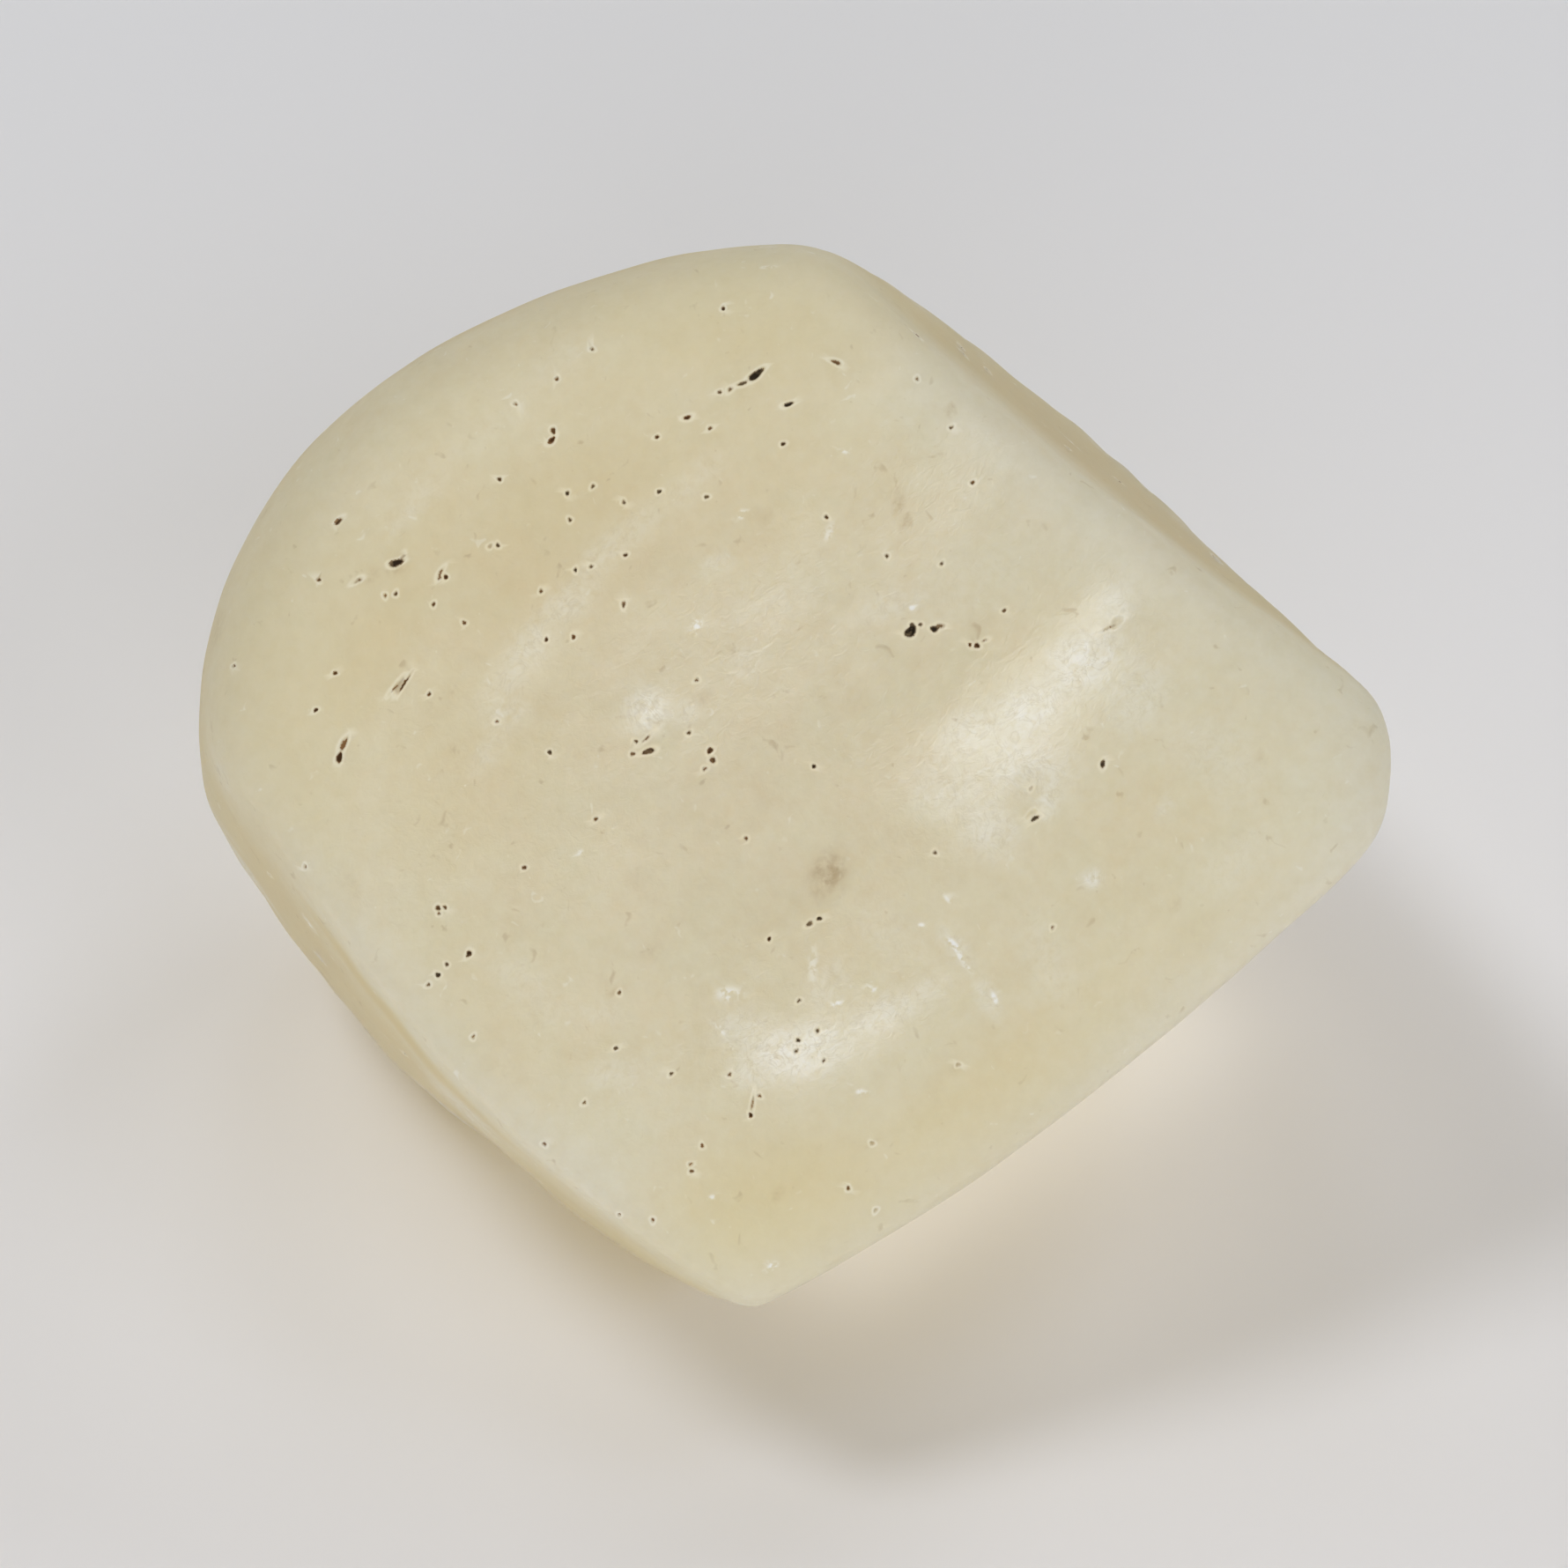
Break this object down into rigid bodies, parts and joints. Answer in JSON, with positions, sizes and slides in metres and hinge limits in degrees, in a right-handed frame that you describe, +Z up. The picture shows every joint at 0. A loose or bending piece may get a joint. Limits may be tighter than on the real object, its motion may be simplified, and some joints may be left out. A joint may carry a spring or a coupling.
{
  "type": "raw libyan desert glass",
  "caption": "Raw lump of pale yellow natural glass, wind-worn and frosted, with a broad domed front face, a rolled crown, undercut lower sides and a flat underside to rest on.",
  "frame": {"origin": "centre of the stone's bounding box, on the flat underside", "axes": "+X along the longest extent, to the stone's right as seen from the front; +Y towards the back; +Z up from the flat underside, the shortest extent"},
  "size_m": [0.0294, 0.0262, 0.0216],
  "materials": {
    "frosted_glass": "frosted"
  },
  "bodies": {
    "root": {"desert_glass": "frosted_glass"}
  },
  "joints": []
}
